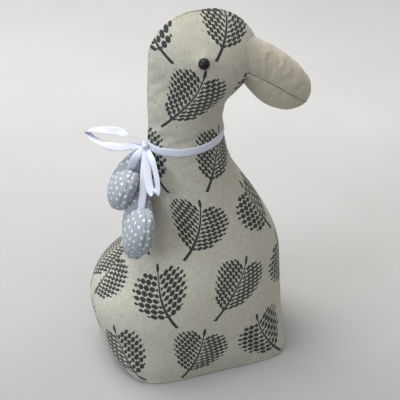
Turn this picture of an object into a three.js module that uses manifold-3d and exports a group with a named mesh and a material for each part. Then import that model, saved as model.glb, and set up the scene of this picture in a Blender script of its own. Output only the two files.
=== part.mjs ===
// A fabric door stop in the shape of a standing duck: a stuffed body on a flat weighted base, a plain stuffed
// beak, bead eyes, and a satin ribbon tied in a bow, with a small stuffed heart on each of its two tails.
// Millimetres. +Z is up, the beak points to +X and the duck's right side is -Y. The origin is the middle of
// the flat base, on the surface that the door stop stands on.
import * as THREE from "three";
import { mergeVertices } from "three/addons/utils/BufferGeometryUtils.js";
import Module from "manifold-3d";

const wasm = await Module();
wasm.setup();

// The free space between two pieces that touch
const SEAT_GAP = 0.3;

// The body as level sections, from the base up. rise is the height above the section below, behind and
// ahead are the reach towards the tail and the chest, and half is half the width. The other fields are powers
// of the outline: square along the body, chest and tail across its two ends. 2 is round, more is boxed, and
// less draws the end to a soft crease where the two side panels are sewn together.
const SECTIONS = [
  { rise: 0, behind: 88.5, ahead: 77.5, half: 70.5, square: 5.6, chest: 10, tail: 3.1 },
  { rise: 12, behind: 96, ahead: 79.5, half: 71.5, square: 4.3, chest: 6, tail: 2.9 },
  { rise: 28, behind: 103, ahead: 81.5, half: 72.5, square: 3.1, chest: 3.6, tail: 2.6 },
  { rise: 30, behind: 106, ahead: 82.5, half: 72, square: 2.6, chest: 2.8, tail: 2.3 },
  { rise: 22, behind: 95.5, ahead: 83, half: 68, square: 2.4, chest: 2.4, tail: 2.2 },
  { rise: 18, behind: 76, ahead: 82, half: 63.5, square: 2.2, chest: 2.2, tail: 2.1 },
  { rise: 18, behind: 66, ahead: 77, half: 57.5, square: 2.1, chest: 2.1, tail: 2 },
  { rise: 22, behind: 58.5, ahead: 66, half: 50, square: 2.1, chest: 2, tail: 1.9 },
  { rise: 25, behind: 53.5, ahead: 51, half: 41.5, square: 2, chest: 1.9, tail: 1.8 },
  { rise: 30, behind: 48, ahead: 31.5, half: 34, square: 2, chest: 1.8, tail: 1.7 },
  { rise: 27, behind: 45.5, ahead: 25.5, half: 30, square: 2, chest: 1.7, tail: 1.7 },
  { rise: 26, behind: 45.5, ahead: 26.5, half: 30, square: 2, chest: 1.6, tail: 1.6 },
  { rise: 14, behind: 45.5, ahead: 31.5, half: 31, square: 2, chest: 1.6, tail: 1.6 },
  { rise: 16, behind: 45, ahead: 50, half: 32, square: 2, chest: 1.5, tail: 1.5 },
  { rise: 17, behind: 44.5, ahead: 59, half: 31.5, square: 2, chest: 1.5, tail: 1.5 },
];

// The crown closes the head over the last section. Its top lies ahead of the origin, and its powers shape the
// nape, the brow and the ridge that the two side panels meet in.
const CROWN_RISE = 49.5;
const CROWN_AHEAD = 8;
const NAPE_POWER = 2.4;
const BROW_POWER = 1.88;
const RIDGE_POWER = 1.8;

// The beak leaves the head at the mouth line and drops towards its tip. The mouth seam parts the deep upper
// half from the shallow lower one.
const BEAK_ROOT = { ahead: 42, height: 297 };
const BEAK_DROOP = 38;
const BEAK_LENGTH = 81;
const BEAK_BURIED = 22;
const BEAK_HALF_WIDTH = 23;
const BEAK_UPPER = 30.5;
const BEAK_LOWER = 20;
const BEAK_SEAM_DEPTH = 1.6;
const BEAK_TIP_LIFT = 4;

// Bead eyes, sunk in a dimple of the head
const EYE_RADIUS = 5.2;
const EYE_PROUD = 7;
const EYE_AHEAD = -3;
const EYE_BELOW_CROWN = 36.5;

// The ribbon: its flat section, and the band round the neck, which climbs a little towards the throat
const RIBBON_WIDTH = 7.5;
const RIBBON_THICKNESS = 0.8;
const BAND_HEIGHT = 235;
const BAND_SLOPE = 0.1;
const BAND_CLEARANCE = 0.5;
const KNOT_RADII = { along: 4, across: 6, up: 5 };

// The hearts: overall width, height and stuffed thickness
const HEART_WIDTH = 66;
const HEART_HEIGHT = 63;
const HEART_THICKNESS = 27;
const HEART_SEAM_POWER = 1.8;

// How finely the soft forms are divided
const BODY_TURNS = 44;
const RINGS_PER_SECTION = 2;
const CROWN_RINGS = 8;
const BEAK_TURNS = 28;
const BEAK_RINGS = 18;
const HEART_TURNS = 32;
const HEART_RINGS = 9;

const LINEN_PRINT = new THREE.MeshStandardMaterial({ color: 0xc3c0b3, roughness: 0.9, metalness: 0 });
const LINEN_PLAIN = new THREE.MeshStandardMaterial({ color: 0xb0aa99, roughness: 0.9, metalness: 0 });
const BEAD = new THREE.MeshStandardMaterial({ color: 0x0c0c0e, roughness: 0.15, metalness: 0 });
const SATIN = new THREE.MeshStandardMaterial({ color: 0xf2f2f6, roughness: 0.4, metalness: 0 });
const DOTTED_COTTON = new THREE.MeshStandardMaterial({ color: 0x8f949c, roughness: 0.9, metalness: 0 });

const signedPower = (value, power) => Math.sign(value) * Math.abs(value) ** power;

// The heights of the sections, from their rises
const SECTION_HEIGHTS = SECTIONS.map((_, index) =>
  SECTIONS.slice(0, index + 1).reduce((sum, section) => sum + section.rise, 0),
);
const CROWN_START = SECTION_HEIGHTS.at(-1);
const BODY_HEIGHT = CROWN_START + CROWN_RISE;

// A smooth value at one height, through the values of one field of the sections. It leaves the last section
// without a slope, so that the crown follows on smoothly.
function smoothField(field, height) {
  const values = SECTIONS.map((section) => section[field]);
  const last = values.length - 1;
  const gradient = (i) => (values[i + 1] - values[i]) / (SECTION_HEIGHTS[i + 1] - SECTION_HEIGHTS[i]);
  const slopeAt = (i) => {
    if (i === last) return 0;
    if (i === 0) return gradient(0);
    const below = SECTION_HEIGHTS[i] - SECTION_HEIGHTS[i - 1];
    const above = SECTION_HEIGHTS[i + 1] - SECTION_HEIGHTS[i];
    return (gradient(i - 1) * above + gradient(i) * below) / (below + above);
  };
  let index = 0;
  while (index < last - 1 && height > SECTION_HEIGHTS[index + 1]) index += 1;
  const span = SECTION_HEIGHTS[index + 1] - SECTION_HEIGHTS[index];
  const t = THREE.MathUtils.clamp((height - SECTION_HEIGHTS[index]) / span, 0, 1);
  const start = slopeAt(index) * span;
  const end = slopeAt(index + 1) * span;
  const low = values[index];
  const high = values[index + 1];
  return (
    (2 * t ** 3 - 3 * t ** 2 + 1) * low +
    (t ** 3 - 2 * t ** 2 + t) * start +
    (3 * t ** 2 - 2 * t ** 3) * high +
    (t ** 3 - t ** 2) * end
  );
}

// The level section of the body at a height, made larger all round by grow
function bodySection(height, grow = 0) {
  const level = Math.min(height, CROWN_START);
  const section = {
    back: -smoothField("behind", level),
    front: smoothField("ahead", level),
    half: smoothField("half", level),
    square: smoothField("square", level),
    chest: smoothField("chest", level),
    tail: smoothField("tail", level),
  };
  if (height > CROWN_START) {
    const share = Math.min((height - CROWN_START) / (CROWN_RISE + grow), 1);
    const narrow = (power) => (1 - share ** power) ** (1 / power);
    section.back = CROWN_AHEAD + (section.back - CROWN_AHEAD) * narrow(NAPE_POWER);
    section.front = CROWN_AHEAD + (section.front - CROWN_AHEAD) * narrow(BROW_POWER);
    section.half *= 1 - share ** RIDGE_POWER;
  }
  section.back -= grow;
  section.front += grow;
  section.half += grow;
  return section;
}

// The point of the body's skin at a height and a turn, counted anticlockwise from the chest
function bodyPoint(height, turn, grow = 0) {
  const { back, front, half, square, chest, tail } = bodySection(height, grow);
  const x = (back + front) / 2 + ((front - back) / 2) * signedPower(Math.cos(turn), 2 / square);
  const y = half * signedPower(Math.sin(turn), 2 / (Math.cos(turn) > 0 ? chest : tail));
  return new THREE.Vector3(x, y, height);
}

// Half the body's width at a place along it and a height
function bodyFlank(x, height) {
  const { back, front, half, square, chest, tail } = bodySection(height);
  const along = (x - (back + front) / 2) / ((front - back) / 2);
  return half * Math.max(1 - Math.abs(along) ** square, 0) ** (1 / (along > 0 ? chest : tail));
}

function geometryOf(points, faces) {
  const geometry = new THREE.BufferGeometry();
  const places = points.flatMap((point) => [point.x, point.y, point.z]);
  geometry.setAttribute("position", new THREE.Float32BufferAttribute(places, 3));
  geometry.setIndex(faces);
  return geometry;
}

// The side faces between one ring of points and the next, facing out where each ring runs anticlockwise as
// seen from the next one
function sideFaces(ringStarts, count) {
  const faces = [];
  for (let ring = 0; ring < ringStarts.length - 1; ring += 1) {
    for (let i = 0; i < count; i += 1) {
      const j = (i + 1) % count;
      const low = ringStarts[ring];
      const high = ringStarts[ring + 1];
      faces.push(low + i, low + j, high + j);
      faces.push(low + i, high + j, high + i);
    }
  }
  return faces;
}

// A closed body whose skin runs through rings of points, with a fan of faces to one point at each end
function skinThrough(rings, startPoint, endPoint) {
  const count = rings[0].length;
  const faces = sideFaces(rings.map((_, ring) => ring * count), count);
  const points = [...rings.flat(), startPoint, endPoint];
  const start = points.length - 2;
  const end = points.length - 1;
  const lastRing = (rings.length - 1) * count;
  for (let i = 0; i < count; i += 1) {
    const j = (i + 1) % count;
    faces.push(start, j, i);
    faces.push(end, lastRing + i, lastRing + j);
  }
  return geometryOf(points, faces);
}

// A closed body whose rings follow each other round in a loop
function skinRound(rings) {
  const count = rings[0].length;
  const starts = rings.map((_, ring) => ring * count);
  return geometryOf(rings.flat(), sideFaces([...starts, 0], count));
}

const middleOf = (ring) =>
  ring.reduce((sum, point) => sum.add(point), new THREE.Vector3()).divideScalar(ring.length);

const turnsOf = (count) => Array.from({ length: count }, (_, i) => (2 * Math.PI * i) / count);

// A solid that can be cut and joined, from a closed geometry
function solidOf(geometry) {
  const bare = geometry.clone();
  bare.deleteAttribute("normal");
  bare.deleteAttribute("uv");
  const merged = mergeVertices(bare, 1e-4);
  const vertProperties = new Float32Array(merged.attributes.position.array);
  const triVerts = new Uint32Array(merged.index.array);
  return new wasm.Manifold(new wasm.Mesh({ numProp: 3, vertProperties, triVerts }));
}

function geometryOfSolid(solid) {
  const mesh = solid.getMesh();
  const geometry = new THREE.BufferGeometry();
  geometry.setAttribute("position", new THREE.BufferAttribute(new Float32Array(mesh.vertProperties), 3));
  geometry.setIndex(new THREE.BufferAttribute(new Uint32Array(mesh.triVerts), 1));
  return geometry;
}

// The whole body, made larger all round by grow
function bodyGeometry(grow = 0) {
  const heights = [-grow];
  for (let index = 1; index < SECTIONS.length; index += 1) {
    for (let part = 1; part <= RINGS_PER_SECTION; part += 1) {
      const share = part / RINGS_PER_SECTION;
      heights.push(THREE.MathUtils.lerp(SECTION_HEIGHTS[index - 1], SECTION_HEIGHTS[index], share));
    }
  }
  for (let ring = 1; ring < CROWN_RINGS; ring += 1) {
    heights.push(CROWN_START + (CROWN_RISE + grow) * Math.sin((Math.PI / 2) * (ring / CROWN_RINGS)));
  }
  const rings = heights.map((height) => turnsOf(BODY_TURNS).map((turn) => bodyPoint(height, turn, grow)));
  return skinThrough(rings, middleOf(rings[0]), new THREE.Vector3(CROWN_AHEAD, 0, BODY_HEIGHT + grow));
}

function eyeCentre(side) {
  const height = BODY_HEIGHT - EYE_BELOW_CROWN;
  const flank = bodyFlank(EYE_AHEAD, height);
  return new THREE.Vector3(EYE_AHEAD, side * (flank + EYE_PROUD - EYE_RADIUS), height);
}

function beadGeometry(side, grow = 0) {
  const bead = new THREE.SphereGeometry(EYE_RADIUS + grow, 20, 14);
  const centre = eyeCentre(side);
  bead.translate(centre.x, centre.y, centre.z);
  return bead;
}

// The beak's half width, and its reach above and below the mouth seam, at a distance from its root
function beakProfile(along) {
  const share = THREE.MathUtils.clamp(along / BEAK_LENGTH, 0, 1);
  const upper = BEAK_UPPER * (0.92 + 0.08 * Math.sin(Math.PI * share)) * (1 - share ** 4) ** (1 / 2.1);
  const fall = Math.sin((Math.PI / 2) * Math.min(share / 0.65, 1));
  const lower = BEAK_LOWER * (0.36 + 0.64 * fall) * (1 - share ** 4.5) ** 0.6;
  const half = BEAK_HALF_WIDTH * (0.94 + 0.06 * Math.sin(Math.PI * share)) * (1 - share ** 4) ** (1 / 2.2);
  return { upper, lower, half, lift: BEAK_TIP_LIFT * share ** 4 };
}

// The beak before it is fitted to the head: rings across its axis, drawn in along the mouth seam
function beakGeometry() {
  const droop = THREE.MathUtils.degToRad(BEAK_DROOP);
  const axis = new THREE.Vector3(Math.cos(droop), 0, -Math.sin(droop));
  const above = new THREE.Vector3(Math.sin(droop), 0, Math.cos(droop));
  const side = new THREE.Vector3(0, 1, 0);
  const root = new THREE.Vector3(BEAK_ROOT.ahead, 0, BEAK_ROOT.height);
  const place = (along, across, height) =>
    root.clone().addScaledVector(axis, along).addScaledVector(side, across).addScaledVector(above, height);
  const rings = [];
  for (let ring = 0; ring < BEAK_RINGS; ring += 1) {
    const share = Math.sin((Math.PI / 2) * (ring / BEAK_RINGS));
    const along = THREE.MathUtils.lerp(-BEAK_BURIED, BEAK_LENGTH, share);
    const { upper, lower, half, lift } = beakProfile(along);
    rings.push(
      turnsOf(BEAK_TURNS).map((turn) => {
        const level = Math.sin(turn);
        const pinch = BEAK_SEAM_DEPTH * (half / BEAK_HALF_WIDTH) * Math.exp(-((level / 0.16) ** 2));
        const across = signedPower(Math.cos(turn), 0.85) * half - Math.sign(Math.cos(turn)) * pinch;
        return place(along, across, lift + (level > 0 ? upper : lower) * level);
      }),
    );
  }
  return skinThrough(rings, middleOf(rings[0]), place(BEAK_LENGTH, 0, BEAK_TIP_LIFT));
}

// A flat ribbon along a smooth curve. Each stop gives the middle of the ribbon and the way its width lies.
function stripGeometry(stops, steps) {
  const route = new THREE.CatmullRomCurve3(stops.map((stop) => stop.at), false, "centripetal");
  const width = new THREE.CatmullRomCurve3(stops.map((stop) => stop.across), false, "centripetal");
  const rings = [];
  for (let step = 0; step <= steps; step += 1) {
    const middle = route.getPoint(step / steps);
    const along = route.getTangent(step / steps);
    const across = width.getPoint(step / steps).projectOnPlane(along).normalize();
    const face = along.clone().cross(across);
    const corner = (a, b) =>
      middle
        .clone()
        .addScaledVector(across, (a * RIBBON_WIDTH) / 2)
        .addScaledVector(face, (b * RIBBON_THICKNESS) / 2);
    rings.push([corner(1, 1), corner(-1, 1), corner(-1, -1), corner(1, -1)]);
  }
  return skinThrough(rings, middleOf(rings[0]), middleOf(rings.at(-1)));
}

const bandHeight = (x) => BAND_HEIGHT + BAND_SLOPE * x;

// The band lies round the neck, just clear of the body
function bandGeometry() {
  const rings = turnsOf(BODY_TURNS).map((turn) => {
    const level = bodyPoint(BAND_HEIGHT, turn);
    const height = bandHeight(level.x);
    const edge = (up, out) => {
      const at = height + up * (RIBBON_WIDTH / 2);
      return bodyPoint(at, turn, BAND_CLEARANCE + out * RIBBON_THICKNESS);
    };
    return [edge(-1, 1), edge(-1, 0), edge(1, 0), edge(1, 1)];
  });
  return skinRound(rings);
}

// The middle of the knot, at the nape side of the band
function knotPlace() {
  const nape = bodyPoint(bandHeight(bodySection(BAND_HEIGHT).back), Math.PI, SEAT_GAP);
  return nape.add(new THREE.Vector3(-KNOT_RADII.along, -2, 0));
}

function knotGeometry() {
  const knot = new THREE.SphereGeometry(1, 14, 10);
  knot.scale(KNOT_RADII.along, KNOT_RADII.across, KNOT_RADII.up);
  const place = knotPlace();
  knot.translate(place.x, place.y, place.z);
  return knot;
}

const stop = (origin, at, across) => ({
  at: new THREE.Vector3(...at).add(origin),
  across: new THREE.Vector3(...across).normalize(),
});

// The open loop that stands out behind the left shoulder, from the knot along its upper strand to the tip and
// back along the lower one. Each strand turns its flat side to the right for half of its way.
function standingLoop() {
  const knot = knotPlace();
  const edgeOn = [0.45, 0.8, -0.4];
  const faceOn = [0.35, 0.6, 0.7];
  const level = [0.645, 0.764, 0.1];
  return stripGeometry(
    [
      stop(knot, [0, 1, 1.5], level),
      stop(knot, [-3, 5.5, 4], edgeOn),
      stop(knot, [-9, 12.3, 6], edgeOn),
      stop(knot, [-18, 21, 7.1], faceOn),
      stop(knot, [-27.3, 28.5, 6.2], faceOn),
      stop(knot, [-36.7, 36, 4.8], level),
      stop(knot, [-43.5, 39.5, 1.8], level),
      stop(knot, [-40.5, 33.5, -2.2], level),
      stop(knot, [-34.2, 25.7, -4.2], level),
      stop(knot, [-27.7, 18.2, -5.2], faceOn),
      stop(knot, [-19.8, 12.4, -4.7], faceOn),
      stop(knot, [-10.8, 7, -2], faceOn),
      stop(knot, [0, 0, -1], level),
    ],
    44,
  );
}

// The loop that droops down the right side of the neck, its front strand outwards and its back strand inwards
function droopingLoop() {
  const knot = knotPlace();
  const across = [0.93, -0.36, 0];
  return stripGeometry(
    [
      stop(knot, [0, -1, -1], across),
      stop(knot, [-0.5, -7, -5.5], across),
      stop(knot, [-2.5, -14.5, -14], across),
      stop(knot, [-4, -22, -22.5], across),
      stop(knot, [-4, -28.5, -29], across),
      stop(knot, [-1.5, -32.5, -31.5], across),
      stop(knot, [0.8, -33.5, -27.5], across),
      stop(knot, [1.2, -28, -18.5], across),
      stop(knot, [1.8, -18.5, -9.5], across),
      stop(knot, [1.5, -4, -1.5], across),
    ],
    36,
  );
}

// Where each heart hangs: the cleft's place from the knot, the way from cleft to tip, and the way across
const HEARTS = {
  heart_upper: { cleft: [-15.8, 0.9, -26.1], down: [-0.25, 0.22, -0.94], across: [0.51, 0.86, 0.07] },
  heart_lower: { cleft: [-15.5, -34, -46.3], down: [-0.24, -0.26, -0.94], across: [0.32, 0.89, -0.33] },
};

// One point of the heart's flat outline, as shares of the whole width and height with the cleft at the origin
function heartOutline(turn) {
  const across = 16 * Math.sin(turn) ** 3;
  const up = 13 * Math.cos(turn) - 5 * Math.cos(2 * turn) - 2 * Math.cos(3 * turn) - Math.cos(4 * turn);
  return { across: across / 32, up: (up - 5) / 29 };
}

// A stuffed heart: its outline drawn in towards the middle as the skin rises from the seam to each face
function heartGeometry(name, grow = 0) {
  const { cleft, down, across } = HEARTS[name];
  const up = new THREE.Vector3(...down).negate().normalize();
  const side = new THREE.Vector3(...across).projectOnPlane(up).normalize();
  const face = side.clone().cross(up);
  const origin = knotPlace().add(new THREE.Vector3(...cleft));
  const core = { across: 0, up: -0.28 };
  const place = (a, b, c) =>
    origin.clone().addScaledVector(side, a).addScaledVector(up, b).addScaledVector(face, c);
  const rings = [];
  for (let ring = 1; ring < HEART_RINGS; ring += 1) {
    const angle = Math.PI * (ring / HEART_RINGS - 0.5);
    const inward = Math.cos(angle) ** (2 / HEART_SEAM_POWER);
    const rise = signedPower(Math.sin(angle), 2 / HEART_SEAM_POWER) * (HEART_THICKNESS / 2 + grow);
    rings.push(
      turnsOf(HEART_TURNS).map((turn) => {
        const edge = heartOutline(-turn);
        const a = THREE.MathUtils.lerp(core.across, edge.across, inward) * (HEART_WIDTH + 2 * grow);
        const b = THREE.MathUtils.lerp(core.up, edge.up, inward) * (HEART_HEIGHT + 2 * grow);
        return place(a, b, rise);
      }),
    );
  }
  const middle = core.up * HEART_HEIGHT;
  const reach = HEART_THICKNESS / 2 + grow;
  return skinThrough(rings, place(0, middle, -reach), place(0, middle, reach));
}

// The tail that ends in the cleft of a heart
function tailGeometry(name, bends, across) {
  const knot = knotPlace();
  const cleft = new THREE.Vector3(...HEARTS[name].cleft);
  const stops = bends.map((bend) => stop(knot, bend, across));
  return stripGeometry([...stops, stop(knot, cleft.toArray(), across)], 14);
}

// The bends of each tail on its way from the knot, and the way that its width lies
const TAILS = {
  heart_upper: { bends: [[0, -1, 0], [-9.3, -3.4, -7.8], [-13.1, -2.3, -17.3]], across: [0.9, -0.4, 0.1] },
  heart_lower: { bends: [[0, -2, -1], [-4.4, -13.6, -14.6], [-8.9, -23.2, -29.2]], across: [0.93, -0.36, 0] },
};

function ribbonSolid(keepClear) {
  const tails = Object.entries(TAILS).map(([name, { bends, across }]) => tailGeometry(name, bends, across));
  const pieces = [bandGeometry(), knotGeometry(), standingLoop(), droopingLoop(), ...tails];
  const joined = pieces.map(solidOf).reduce((whole, piece) => whole.add(piece));
  return keepClear.reduce((whole, piece) => whole.subtract(piece), joined);
}

const group = new THREE.Group();

function addPiece(name, geometry, material) {
  geometry.computeVertexNormals();
  const mesh = new THREE.Mesh(geometry, material);
  mesh.name = name;
  group.add(mesh);
}

const SIDES = { right: -1, left: 1 };
const bodyRoom = solidOf(bodyGeometry(SEAT_GAP));
const eyeRooms = Object.values(SIDES).map((side) => solidOf(beadGeometry(side, SEAT_GAP)));
const bodySolid = eyeRooms.reduce((whole, room) => whole.subtract(room), solidOf(bodyGeometry()));

addPiece("body", geometryOfSolid(bodySolid), LINEN_PRINT);
addPiece("beak", geometryOfSolid(solidOf(beakGeometry()).subtract(bodyRoom)), LINEN_PLAIN);
for (const [side, sign] of Object.entries(SIDES)) {
  addPiece(`eye_${side}`, beadGeometry(sign), BEAD);
}
const heartRooms = Object.keys(HEARTS).map((name) => solidOf(heartGeometry(name, SEAT_GAP)));
const upperHeart = solidOf(heartGeometry("heart_upper")).subtract(bodyRoom);
const lowerHeart = solidOf(heartGeometry("heart_lower")).subtract(bodyRoom).subtract(heartRooms[0]);
addPiece("heart_upper", geometryOfSolid(upperHeart), DOTTED_COTTON);
addPiece("heart_lower", geometryOfSolid(lowerHeart), DOTTED_COTTON);
addPiece("ribbon", geometryOfSolid(ribbonSolid([bodyRoom, ...heartRooms])), SATIN);

export default group;
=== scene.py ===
import bpy
import numpy as np
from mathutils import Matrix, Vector, noise


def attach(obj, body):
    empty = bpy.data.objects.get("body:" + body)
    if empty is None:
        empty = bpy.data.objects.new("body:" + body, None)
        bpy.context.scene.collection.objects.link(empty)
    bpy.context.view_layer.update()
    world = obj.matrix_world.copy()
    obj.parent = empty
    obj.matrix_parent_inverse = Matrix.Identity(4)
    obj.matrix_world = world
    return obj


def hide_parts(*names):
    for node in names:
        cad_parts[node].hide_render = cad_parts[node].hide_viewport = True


MM = 0.001
WELD_DISTANCE = 0.02

# The body's level sections, as in the CAD model: rise above the section below, reach towards the tail, reach
# towards the chest, half width, and the powers of the outline along the body, across the chest and the tail
SECTIONS = np.array(
    [
        (0, 88.5, 77.5, 70.5, 5.6, 10, 3.1),
        (12, 96, 79.5, 71.5, 4.3, 6, 2.9),
        (28, 103, 81.5, 72.5, 3.1, 3.6, 2.6),
        (30, 106, 82.5, 72, 2.6, 2.8, 2.3),
        (22, 95.5, 83, 68, 2.4, 2.4, 2.2),
        (18, 76, 82, 63.5, 2.2, 2.2, 2.1),
        (18, 66, 77, 57.5, 2.1, 2.1, 2),
        (22, 58.5, 66, 50, 2.1, 2, 1.9),
        (25, 53.5, 51, 41.5, 2, 1.9, 1.8),
        (30, 48, 31.5, 34, 2, 1.8, 1.7),
        (27, 45.5, 25.5, 30, 2, 1.7, 1.7),
        (26, 45.5, 26.5, 30, 2, 1.6, 1.6),
        (14, 45.5, 31.5, 31, 2, 1.6, 1.6),
        (16, 45, 50, 32, 2, 1.5, 1.5),
        (17, 44.5, 59, 31.5, 2, 1.5, 1.5),
    ],
    float,
)
LEVELS = np.cumsum(SECTIONS[:, 0])
BEHIND, AHEAD, HALF, SQUARE, CHEST, TAIL = range(1, 7)
CROWN_START = LEVELS[-1]
CROWN_RISE = 49.5
CROWN_AHEAD = 8.0
NAPE_POWER = 2.4
BROW_POWER = 1.88
RIDGE_POWER = 1.8
HEM_RADIUS = 3.0

BEAK_ROOT = np.array([42.0, 0.0, 297.0])
BEAK_DROOP = 38.0
BEAK_LENGTH = 81.0
BEAK_BURIED = 22.0
BEAK_HALF_WIDTH = 23.0
BEAK_UPPER = 30.5
BEAK_LOWER = 20.0
BEAK_TIP_LIFT = 4.0
MOUTH_BOW = 3.5
# The round that the beak's flat cloth is measured on
BEAK_FLAT_RADIUS = 26.0

EYE_AHEAD = -3.0
EYE_HEIGHT = 318.0

RIBBON_WIDTH = 7.5
RIBBON_THICKNESS = 0.5
BAND_HEIGHT = 235.0
BAND_SLOPE = 0.1
BAND_CLEARANCE = 0.7
BAND_FLAT_LENGTH = 240.0
# The knot's room at the nape, and the rounded wrap that is seen in it
KNOT_RADII = np.array([4.0, 6.0, 5.0])
KNOT_SHAPE = KNOT_RADII * 0.78

HEART_WIDTH = 66.0
HEART_HEIGHT = 63.0
HEART_THICKNESS = 27.5
HEART_SEAM_POWER = 2.3
HEART_CORE = -0.28
HEARTS = {
    "heart_upper": ((-15.8, 0.9, -26.1), (-0.25, 0.22, -0.94), (0.51, 0.86, 0.07)),
    "heart_lower": ((-15, -33.5, -47.5), (-0.23, -0.17, -0.96), (0.12, 0.97, -0.2)),
}
# How far each heart's near lobe hangs below the other, and how far its seam lies off the middle
HEART_SLUMP = {"heart_upper": (3, 4.5), "heart_lower": (7.5, 1)}
# The cotton's dots lie so far apart each way
DOT_PITCH = 6.8
DOT_RADIUS = 1.25
# The bends of each ribbon tail on its way from the knot, and the way that its width lies
TAILS = {
    "heart_upper": (((0, -1, 0), (-9.3, -3.4, -7.8), (-13.1, -2.3, -17.3)), (0.9, -0.4, 0.1)),
    "heart_lower": (((0, -2, -1), (-4.4, -13.6, -14.6), (-8.9, -23.2, -29.2)), (0.93, -0.36, 0)),
}

# The cloth trials: how much larger than life, for how many frames, and the most that a seam draws in
TRIAL_SCALE = 10
TRIAL_FRAMES = 20
TRIAL_SHRINK = 0.15

# The print: the height of its rows, the width of its cells, and how far each sprig leans
PRINT_ROW = 66.0
PRINT_CELL = 72.0
PRINT_LEAN = 24.0
SPRIG_LOW = -22.0
SPRIG_HIGH = 26.0
# The left side panel's place on the flat cloth, beside the right one's
LEFT_PANEL_SHIFT = 310.0

FLOOR_SIZE = 2400.0
# The photograph's camera
CAMERA_TARGET = Vector((0, 0, 0.17))
CAMERA_DISTANCE = 1.0
CAMERA_AZIMUTH = -19.0
CAMERA_ELEVATION = 33.0
CAMERA_LENS = 94.5
CAMERA_SHIFT = (0.01, -0.0225)


def smooth_field(column, heights):
    """A smooth value at each height, through the sections' values in one column."""
    values = SECTIONS[:, column]
    spans = np.diff(LEVELS)
    gradients = np.diff(values) / spans
    inner = (gradients[:-1] * spans[1:] + gradients[1:] * spans[:-1]) / (spans[:-1] + spans[1:])
    slopes = np.concatenate(([gradients[0]], inner, [0.0]))
    index = np.clip(np.searchsorted(LEVELS, heights, side="left") - 1, 0, len(spans) - 1)
    span = spans[index]
    t = np.clip((heights - LEVELS[index]) / span, 0, 1)
    low, high = values[index], values[index + 1]
    start, end = slopes[index] * span, slopes[index + 1] * span
    return (
        (2 * t**3 - 3 * t**2 + 1) * low
        + (t**3 - 2 * t**2 + t) * start
        + (3 * t**2 - 2 * t**3) * high
        + (t**3 - t**2) * end
    )


def body_sections(heights):
    """The back, front, half width and outline powers of the body at each height."""
    heights = np.asarray(heights, float)
    level = np.minimum(heights, CROWN_START)
    back = -smooth_field(BEHIND, level)
    front = smooth_field(AHEAD, level)
    half = smooth_field(HALF, level)
    share = np.clip((heights - CROWN_START) / CROWN_RISE, 0, 1)
    back = CROWN_AHEAD + (back - CROWN_AHEAD) * (1 - share**NAPE_POWER) ** (1 / NAPE_POWER)
    front = CROWN_AHEAD + (front - CROWN_AHEAD) * (1 - share**BROW_POWER) ** (1 / BROW_POWER)
    half = half * (1 - share**RIDGE_POWER)
    powers = [smooth_field(column, level) for column in (SQUARE, CHEST, TAIL)]
    return back, front, half, *powers


def signed_power(value, power):
    return np.sign(value) * np.abs(value) ** power


def body_points(heights, turns, grow=0.0):
    """Points of the body's skin at heights and turns, moved out level by grow."""
    heights, turns = np.broadcast_arrays(np.asarray(heights, float), np.asarray(turns, float))
    back, front, half, square, chest, tail = body_sections(heights)
    x = (back + front) / 2 + ((front - back) / 2 + grow) * signed_power(np.cos(turns), 2 / square)
    y = (half + grow) * signed_power(np.sin(turns), 2 / np.where(np.cos(turns) > 0, chest, tail))
    return np.stack((x, y, heights), axis=-1)


def body_flank(x, height):
    """Half the body's width at a place along it."""
    back, front, half, square, chest, tail = (float(v) for v in body_sections(height))
    along = (x - (back + front) / 2) / ((front - back) / 2)
    return half * max(1 - abs(along) ** square, 0) ** (1 / (chest if along > 0 else tail))


def outside_body(points, gap):
    """The points moved out level until each is clear of the body by about gap."""
    moved = np.array(points, float)
    for _ in range(3):
        back, front, half, square, chest, tail = body_sections(moved[:, 2])
        middle, reach = (back + front) / 2, np.maximum((front - back) / 2 + gap, 1e-3)
        wide = np.maximum(half + gap, 1e-3)
        a = (moved[:, 0] - middle) / reach
        b = moved[:, 1] / wide
        power = np.where(a > 0, chest, tail)
        level = (np.abs(a) ** square) ** (power / square) + np.abs(b) ** power
        inside = (level < 1) & (moved[:, 2] < CROWN_START)
        scale = np.where(inside, np.maximum(level, 1e-3) ** (-1 / power), 1)
        moved[:, 0] = middle + (moved[:, 0] - middle) * scale
        moved[:, 1] = moved[:, 1] * scale
    return moved


def bumps(points, size, seed):
    """Smooth noise from -1 to 1 at each point, with features about as large as size."""
    shift = Vector((seed * 7.3, seed * 3.1, seed * 5.7))
    return np.array([noise.noise(Vector(p) / size + shift) for p in np.asarray(points).reshape(-1, 3)])


def new_mesh(name, points, faces, uvs=None):
    """An object from points in millimetres, with one UV pair, in metres, for each corner."""
    mesh = bpy.data.meshes.new(name)
    mesh.from_pydata((np.asarray(points) * MM).tolist(), [], faces)
    if uvs is not None:
        layer = mesh.uv_layers.new(name="flat")
        layer.data.foreach_set("uv", np.asarray(uvs, float).ravel() * MM)
    mesh.polygons.foreach_set("use_smooth", [True] * len(mesh.polygons))
    mesh.validate()
    piece = bpy.data.objects.new(name, mesh)
    bpy.context.scene.collection.objects.link(piece)
    return piece


def grid_faces(rows, columns, start=0):
    """Quads over a grid of points that runs row by row."""
    faces = []
    for i in range(rows - 1):
        low, high = start + i * columns, start + (i + 1) * columns
        faces.extend((low + j, low + j + 1, high + j + 1, high + j) for j in range(columns - 1))
    return faces


def capped(skin, ends):
    """The points and faces of a grid of rings that is closed to a point at each end."""
    rows, columns = skin.shape[:2]
    faces = grid_faces(rows, columns)
    for row, centre in ((0, rows * columns), (rows - 1, rows * columns + 1)):
        for low in range(row * columns, (row + 1) * columns - 1):
            faces.append((low + 1, low, centre) if row == 0 else (low, low + 1, centre))
    return [*skin.reshape(-1, 3), *ends], faces


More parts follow.
